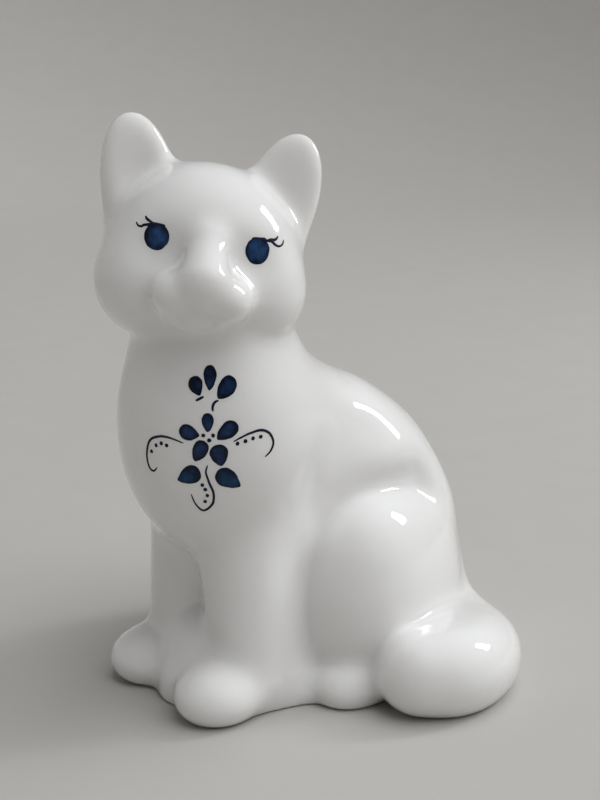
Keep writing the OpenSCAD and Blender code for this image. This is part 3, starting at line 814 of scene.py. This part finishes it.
def pool_source(name, pools):
    mesh = bpy.data.meshes.new(name)
    mesh.from_pydata([(x * MM, y * MM, 0) for x, y, _, _, _ in pools], [], [])
    columns = {
        "turn": [math.radians(turn) for _, _, turn, _, _ in pools],
        "half_length": [length / 2 * MM for _, _, _, length, _ in pools],
        "half_width": [width / 2 * MM for _, _, _, _, width in pools],
    }
    return with_columns(mesh, columns)


def dots(places):
    return [(x, y, 0, DOT_WIDTH, DOT_WIDTH) for x, y in places]


# Sprig in millimetres from the flower's heart: place, way of the point, length and width
petals = [
    (0.2, 2.3, 270, 2.8, 1.9), (3.1, 1, 218, 3.8, 2.5), (-2.7, 0.7, 345, 3.3, 2.4),
    (-1.1, -2, 242, 3.5, 2.4), (1.9, -2.6, 282, 3.4, 2.8),
]
bud = [(0.6, 8.7, 268, 3.6, 2.2), (-1.7, 7.5, 298, 2.9, 2.4), (3.2, 7.2, 226, 4, 2.7)]
leaf_pair = [(-3, -5.9, 205, 4.2, 2.9), (3.3, -6.4, 325, 4.5, 3)]
PETAL_POINT = 0.6
LEAF_POINT = 0.8
stamens = [(-0.5, 0.4), (0.4, -0.3), (1, 0.4)]
short_stem = [(-1.7, 5.4), (-1.2, 5.65), (-0.4, 6)]
long_stem = [(1.9, 5.5), (1.3, 5.2), (1, 4.6), (1, 3.9)]
left_curl = [
    (4, -0.6), (5.9, 0.3), (8.1, 0.8), (9.5, 0.3), (10.3, -1.1), (9.9, -2.5), (8.9, -3.4),
]
right_curl = [
    (-3.6, -0.9), (-5.8, -0.3), (-7.9, -0.3), (-9.8, -1.2),
    (-10.6, -3.4), (-10.4, -5.3), (-9.5, -5.9), (-8.6, -5.2),
]
lower_curl = [
    (0.1, -4.1), (-0.2, -5.2), (0.2, -6.7), (0.9, -8.6),
    (0.7, -10.4), (-0.8, -11.6), (-2.1, -10.7), (-2.8, -8.9),
]
curl_dots = [
    (4.6, -0.9), (5.8, -0.6), (7, -0.3), (8.2, -0.2),
    (-9.5, -2.8), (-8.5, -1.7), (-7.5, -1.3), (-6.5, -1.5),
    (-0.85, -7.3), (-0.4, -8), (-0.1, -9), (-0.5, -10),
]
CURL_STEPS = 8

# Eyes with a flat top, the lid line along it, and lashes from the outer top corner
EYE_WIDTH = 3.6
EYE_HEIGHT = 3.9
EYE_FLAT = 0.86
LID_ROOM = 0.05
LID_INNER = 125
LID_OUTER = 50
LID_POINTS = 7
LONG_LASH_STEPS = 6
SHORT_LASH_STEPS = 8
eye_spots = {LEFT: (7.3, 2.2), RIGHT: (-7.3, 2.5)}
long_lash = {
    LEFT: [(0.2, -0.45), (0.75, -0.85), (1.4, -1.05), (1.9, -0.75), (2.05, -0.1)],
    RIGHT: [(0.15, -0.6), (0.5, -0.85), (1, -0.8), (1.3, -0.35)],
}
short_lash = {
    LEFT: [(-0.45, -0.35), (-0.05, -0.22), (0.5, -0.2), (0.85, -0.05), (1.1, 0.35)],
    RIGHT: [(-1.15, -0.2), (-0.75, 0), (-0.4, 0.18), (-0.12, 0.38), (0.05, 0.7)],
}


def lash_paths(side):
    middle = eye_spots[side]
    wide = EYE_WIDTH / 2
    high = EYE_HEIGHT / 2
    lid_top = high * EYE_FLAT + LID_ROOM

    def put(x, y):
        return (middle[0] + side * x, middle[1] + y)

    def from_corner(path):
        return [put(wide + x, high + y) for x, y in path]

    lid = [
        put((wide + LID_ROOM) * math.cos(a), min((high + LID_ROOM) * math.sin(a), lid_top))
        for a in np.radians(np.linspace(LID_INNER, LID_OUTER, LID_POINTS))
    ]
    return [
        smooth(lid + from_corner(long_lash[side]), LONG_LASH_STEPS),
        smooth(from_corner(short_lash[side]), SHORT_LASH_STEPS),
    ]


# Nodes that the materials share
def object_spot(tree):
    return add(tree, "ShaderNodeTexCoord").outputs["Object"]


def attribute(tree, name):
    return add(tree, "ShaderNodeAttribute", attribute_name=name).outputs["Fac"]


def noise_node(tree, vector, scale, detail):
    inputs = {"Vector": vector, "Scale": scale, "Detail": detail}
    return add(tree, "ShaderNodeTexNoise", inputs).outputs["Fac"]


def mixed_colour(tree, share, first, second):
    inputs = {0: share, 6: first, 7: second}
    return add(tree, "ShaderNodeMix", inputs, data_type="RGBA").outputs[2]


def clamped(tree, value):
    return add(tree, "ShaderNodeClamp", {"Value": value}).outputs[0]


# Gentle ripple and tone of a fired glaze, shared by the white and the enamel
RIPPLE_DETAIL = 2.0
PIT_SHARE = 0.06


def make_ripple_group():
    tree, given, result = started(
        "fired_ripple", "ShaderNodeTree",
        [("Broad", "NodeSocketFloat", 120.0), ("Fine", "NodeSocketFloat", 1500.0)],
        [("Height", "NodeSocketFloat"), ("Tone", "NodeSocketFloat")],
    )
    spot = object_spot(tree)
    swell = noise_node(tree, spot, given["Broad"], RIPPLE_DETAIL)
    pits = noise_node(tree, spot, given["Fine"], RIPPLE_DETAIL)
    tree.links.new(math_node(tree, "MULTIPLY_ADD", pits, PIT_SHARE, swell), result["Height"])
    tree.links.new(swell, result["Tone"])
    return tree


# Brushed pigment: thin in the middle of a stroke and dark where it pools at the rim
STREAK_DETAIL = 3.0
STREAK_GAIN = 1.8
STREAK_SHIFT = -1.0
RIM_POWER = 2.5
RIM_LOAD = 0.75
HEEL_LOAD = 0.25


def make_pigment_group():
    tree, given, result = started(
        "brushed_pigment", "ShaderNodeTree",
        [
            ("Thin", "NodeSocketColor", None), ("Full", "NodeSocketColor", None),
            ("Streak", "NodeSocketFloat", 700.0), ("Cover", "NodeSocketFloat", 0.5),
        ],
        [("Color", "NodeSocketColor"), ("Load", "NodeSocketFloat")],
    )
    noise = noise_node(tree, object_spot(tree), given["Streak"], STREAK_DETAIL)
    darkening = math_node(tree, "POWER", attribute(tree, "rim"), RIM_POWER)
    heel = math_node(tree, "MULTIPLY", attribute(tree, "along"), HEEL_LOAD)
    streak = math_node(tree, "MULTIPLY_ADD", noise, STREAK_GAIN, STREAK_SHIFT)
    load = math_node(tree, "MULTIPLY_ADD", darkening, RIM_LOAD, given["Cover"])
    load = math_node(tree, "ADD", load, heel)
    load = clamped(tree, math_node(tree, "ADD", load, streak))
    tree.links.new(mixed_colour(tree, load, given["Thin"], given["Full"]), result["Color"])
    tree.links.new(load, result["Load"])
    return tree


def started_material(name):
    material = bpy.data.materials.new(name)
    material.use_nodes = True
    tree = material.node_tree
    tree.nodes.clear()
    shader = add(tree, "ShaderNodeBsdfPrincipled")
    add(tree, "ShaderNodeOutputMaterial", {"Surface": shader.outputs[0]})
    return material, tree, shader


def set_sockets(shader, values):
    for name, value in values.items():
        shader.inputs[name].default_value = value


def rippled(tree, shader, ripple, broad, fine, distance):
    group = add(tree, "ShaderNodeGroup", {"Broad": broad, "Fine": fine}, node_tree=ripple)
    bump = add(
        tree, "ShaderNodeBump",
        {"Height": group.outputs["Height"], "Strength": 1.0, "Distance": distance},
    )
    tree.links.new(bump.outputs[0], shader.inputs["Normal"])
    return group.outputs["Tone"]


# White glaze with a random darker tone, and painted shade that darkens it in the creases
GLAZE_LIGHT = (0.86, 0.86, 0.85, 1)
GLAZE_TONE_AND_SHADE = (0.80, 0.79, 0.785, 1)
CREASE_SHADE = 0.5
TONE_SHADE = 0.35
GLAZE_ROUGHNESS = 0.05
GLAZE_ROUGHNESS_RANGE = 0.06


def make_white_glaze(ripple):
    material, tree, shader = started_material("white_glaze")
    tone = rippled(tree, shader, ripple, broad=110.0, fine=1400.0, distance=0.00012)
    # Painted shade: the glaze colour darkens in creases and hollows, where shade falls, on top of its
    # random tone
    darkening = math_node(tree, "MULTIPLY", attribute(tree, "hollow"), CREASE_SHADE)
    shade = clamped(tree, math_node(tree, "MULTIPLY_ADD", tone, TONE_SHADE, darkening))
    tint = mixed_colour(tree, shade, GLAZE_LIGHT, GLAZE_TONE_AND_SHADE)
    tree.links.new(tint, shader.inputs["Base Color"])
    rough = math_node(tree, "MULTIPLY_ADD", tone, GLAZE_ROUGHNESS_RANGE, GLAZE_ROUGHNESS)
    tree.links.new(rough, shader.inputs["Roughness"])
    set_sockets(shader, {
        "IOR": 1.52,
        "Subsurface Weight": 0.35,
        "Subsurface Radius": (1.0, 0.92, 0.86),
        "Subsurface Scale": 0.0025,
        "Coat Weight": 0.6,
        "Coat Roughness": 0.05,
    })
    return material


# Blue enamel, glossier where the brush left more
ENAMEL_ROUGHNESS = 0.3
ENAMEL_GLOSS = -0.1


def make_enamel(name, ripple, pigment, thin, full, streak, cover):
    material, tree, shader = started_material(name)
    rippled(tree, shader, ripple, broad=400.0, fine=2600.0, distance=0.00004)
    group = add(
        tree, "ShaderNodeGroup",
        {"Thin": (*thin, 1), "Full": (*full, 1), "Streak": streak, "Cover": cover},
        node_tree=pigment,
    ).outputs
    tree.links.new(group["Color"], shader.inputs["Base Color"])
    rough = math_node(tree, "MULTIPLY_ADD", group["Load"], ENAMEL_GLOSS, ENAMEL_ROUGHNESS)
    tree.links.new(rough, shader.inputs["Roughness"])
    set_sockets(shader, {"IOR": 1.4, "Specular IOR Level": 0.25})
    return material


# Pale floor that sweeps up into a low wall all round
FLOOR_DARK = (0.47, 0.455, 0.435, 1)
FLOOR_LIGHT = (0.5, 0.485, 0.465, 1)
FLOOR_GRAIN = 60.0
FLOOR_GRAIN_DETAIL = 4.0
FLOOR_ROUGHNESS = 0.7
FLOOR_RADIUS = 0.9
FLAT_SHARE = 0.9
SWEEP_RADIUS = 0.5
SWEEP_START = 6
SWEEP_END = 90
SWEEP_POINTS = 15
WALL_TOP = 0.75
ROUND_STEPS = 96


def make_floor_material():
    material, tree, shader = started_material("pale_floor")
    grain = noise_node(tree, object_spot(tree), FLOOR_GRAIN, FLOOR_GRAIN_DETAIL)
    tint = mixed_colour(tree, grain, FLOOR_DARK, FLOOR_LIGHT)
    tree.links.new(tint, shader.inputs["Base Color"])
    set_sockets(shader, {"Roughness": FLOOR_ROUGHNESS})
    return material


def make_stage():
    sweep = [
        (FLOOR_RADIUS + SWEEP_RADIUS * math.sin(a), SWEEP_RADIUS * (1 - math.cos(a)))
        for a in np.radians(np.linspace(SWEEP_START, SWEEP_END, SWEEP_POINTS))
    ]
    flat = [(FLOOR_RADIUS * FLAT_SHARE, 0), (FLOOR_RADIUS, 0)]
    profile = flat + sweep + [(FLOOR_RADIUS + SWEEP_RADIUS, WALL_TOP)]
    turns = np.arange(ROUND_STEPS) * math.tau / ROUND_STEPS
    points = [(r * math.cos(a), r * math.sin(a), z) for r, z in profile for a in turns]
    faces = [tuple(range(ROUND_STEPS))]
    for i in range(len(profile) - 1):
        inner = i * ROUND_STEPS
        outer = inner + ROUND_STEPS
        for j in range(ROUND_STEPS):
            k = (j + 1) % ROUND_STEPS
            faces.append((inner + j, outer + j, outer + k, inner + k))
    mesh = bpy.data.meshes.new("floor")
    mesh.from_pydata(points, [], faces)
    mesh.shade_smooth()
    mesh.materials.append(make_floor_material())
    floor = bpy.data.objects.new("floor", mesh)
    scene.collection.objects.link(floor)


# Soft studio light: a wide sky that shows in no reflection, and a small window that does
LAMP_AIM = Vector((0, 0.005, 0.045))
SKY_AIM = Vector((0, 0, 0))
SKY_DISTANCE = 1
WORLD_COLOUR = (0.92, 0.93, 0.95, 1)
WORLD_STRENGTH = 0.16


def make_lamp(name, azimuth, elevation, distance, width, height, power, colour):
    data = bpy.data.lights.new(name, "AREA")
    data.shape = "RECTANGLE"
    data.size = width
    data.size_y = height
    data.energy = power
    data.color = colour
    aimed(name, data, LAMP_AIM, azimuth, elevation, distance)


def make_soft_sun(name, azimuth, elevation, spread, strength, colour):
    data = bpy.data.lights.new(name, "SUN")
    data.angle = math.radians(spread)
    data.energy = strength
    data.color = colour
    lamp = aimed(name, data, SKY_AIM, azimuth, elevation, SKY_DISTANCE)
    lamp.visible_glossy = False


def make_light():
    make_lamp(
        "window", azimuth=155, elevation=32, distance=0.62,
        width=0.1, height=0.18, power=0.9, colour=(0.95, 0.98, 1.0),
    )
    make_soft_sun(
        "soft_sky", azimuth=120, elevation=62, spread=70, strength=2.4, colour=(0.985, 0.99, 1.0)
    )
    world = bpy.data.worlds.new("studio")
    world.use_nodes = True
    set_sockets(
        world.node_tree.nodes["Background"], {"Color": WORLD_COLOUR, "Strength": WORLD_STRENGTH}
    )
    scene.world = world


make_camera()
make_stage()
make_light()

ripple_group = make_ripple_group()
pigment_group = make_pigment_group()
white_glaze = make_white_glaze(ripple_group)
eye_blue = make_enamel(
    "eye_blue", ripple_group, pigment_group,
    thin=(0.025, 0.075, 0.2), full=(0.005, 0.01, 0.026), streak=700.0, cover=0.35,
)
petal_blue = make_enamel(
    "petal_blue", ripple_group, pigment_group,
    thin=(0.018, 0.052, 0.16), full=(0.003, 0.008, 0.022), streak=600.0, cover=0.58,
)
leaf_blue = make_enamel(
    "leaf_blue", ripple_group, pigment_group,
    thin=(0.01, 0.062, 0.16), full=(0.002, 0.009, 0.025), streak=600.0, cover=0.45,
)
line_navy = make_enamel(
    "line_navy", ripple_group, pigment_group,
    thin=(0.02, 0.028, 0.07), full=(0.005, 0.007, 0.018), streak=1500.0, cover=0.6,
)

glazed_body = make_skin(white_glaze)

wrap_on_skin = make_wrap_tree()
hand_wobble = make_wobble_tree()
line_tree = make_line_tree(hand_wobble, wrap_on_skin)
pool_tree = make_pool_tree(hand_wobble, wrap_on_skin)

# Height and unevenness of the brushwork
LINE_CROWN = 0.35
LINE_WOBBLE = 0.12 * MM
POOL_CROWN = 0.07 * MM
POOL_WOBBLE = 0.3 * MM
DOT_WOBBLE = 0.2 * MM
DOT_SEGMENTS = 14
DOT_RINGS = 8


def paint_lines(name, paths, wrap, seed):
    shape = {"Crown": LINE_CROWN, "Wobble": LINE_WOBBLE, "Seed": seed, "Material": line_navy}
    dressed(name, line_source(name, paths), line_tree, {**wrap, **shape})


def paint_pools(name, pools, wrap, seed, material, **outline):
    shape = {"Crown": POOL_CROWN, "Wobble": POOL_WOBBLE, "Seed": seed, "Material": material}
    values = {**wrap, **shape, **outline}
    dressed(name, pool_source(name, pools), pool_tree, values)


def paint_dots(name, places, wrap, seed):
    shape = {"Crown": POOL_CROWN, "Wobble": DOT_WOBBLE, "Seed": seed, "Material": line_navy}
    values = {**wrap, **shape, "Segments": DOT_SEGMENTS, "Rings": DOT_RINGS}
    dressed(name, pool_source(name, dots(places)), pool_tree, values)


on_chest = chest_wrap(glazed_body)
on_face = face_wrap(glazed_body)
stem_paths = [smooth(stem, CURL_STEPS) for stem in (short_stem, long_stem)]
paint_pools("flower_petals", petals, on_chest, 1.0, petal_blue, Pointed=PETAL_POINT)
paint_pools("bud_petals", bud, on_chest, 2.0, petal_blue, Pointed=PETAL_POINT)
paint_pools("leaves", leaf_pair, on_chest, 3.0, leaf_blue, Pointed=LEAF_POINT)
paint_dots("flower_stamens", stamens, on_chest, 4.0)
paint_dots("tendril_dots", curl_dots, on_chest, 5.0)
paint_lines("bud_stems", stem_paths, on_chest, 6.0)
paint_lines("left_tendril", [smooth(left_curl, CURL_STEPS)], on_chest, 7.0)
paint_lines("right_tendril", [smooth(right_curl, CURL_STEPS)], on_chest, 8.0)
paint_lines("lower_tendril", [smooth(lower_curl, CURL_STEPS)], on_chest, 9.0)
for eye_name, lash_name, eye_side, eye_seed, lash_seed in (
    ("left_eye", "left_lashes", LEFT, 11.0, 21.0),
    ("right_eye", "right_lashes", RIGHT, 9.0, 19.0),
):
    eye_pool = [(*eye_spots[eye_side], 0, EYE_WIDTH, EYE_HEIGHT)]
    paint_pools(eye_name, eye_pool, on_face, eye_seed, eye_blue, Flat=EYE_FLAT)
    paint_lines(lash_name, lash_paths(eye_side), on_face, lash_seed)
